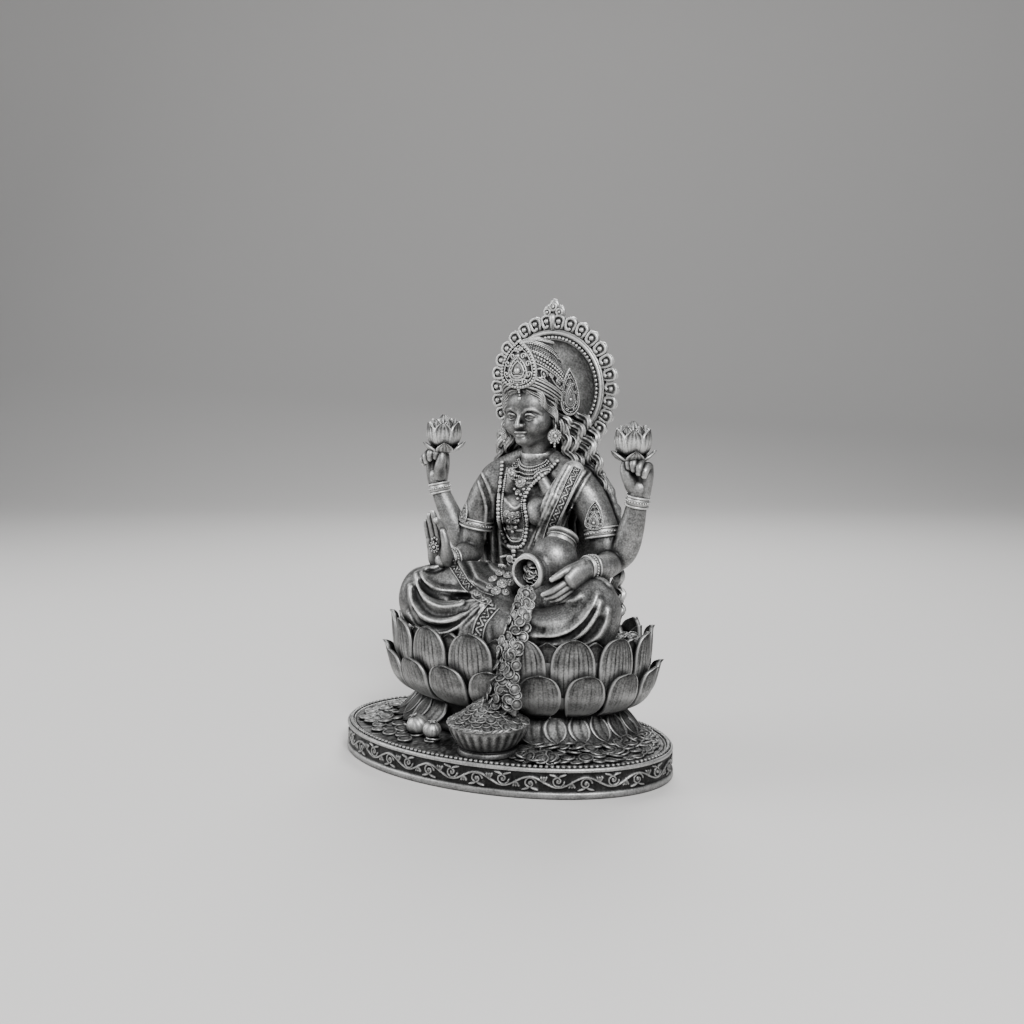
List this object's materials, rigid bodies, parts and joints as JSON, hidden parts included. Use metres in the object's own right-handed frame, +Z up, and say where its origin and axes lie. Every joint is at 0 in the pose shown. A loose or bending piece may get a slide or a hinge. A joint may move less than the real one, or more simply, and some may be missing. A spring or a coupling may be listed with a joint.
{
  "type": "lakshmi figure",
  "caption": "Cast four-armed goddess seated on a lotus throne over an oval plinth, pouring coins from a pot into a bowl.",
  "frame": {"origin": "middle of the plinth's underside", "axes": "+Z up, -Y the way the figure faces, +X to the figure's left; the plinth's length runs along X"},
  "size_m": [0.1564, 0.1035, 0.2002],
  "materials": {
    "plinth": "antique silver, dark in the recesses",
    "lotus_throne": "antique silver, dark in the recesses",
    "goddess": "antique silver, dark in the recesses"
  },
  "bodies": {
    "root": {"plinth": "plinth", "lotus_throne": "lotus_throne", "goddess": "goddess"}
  },
  "joints": []
}
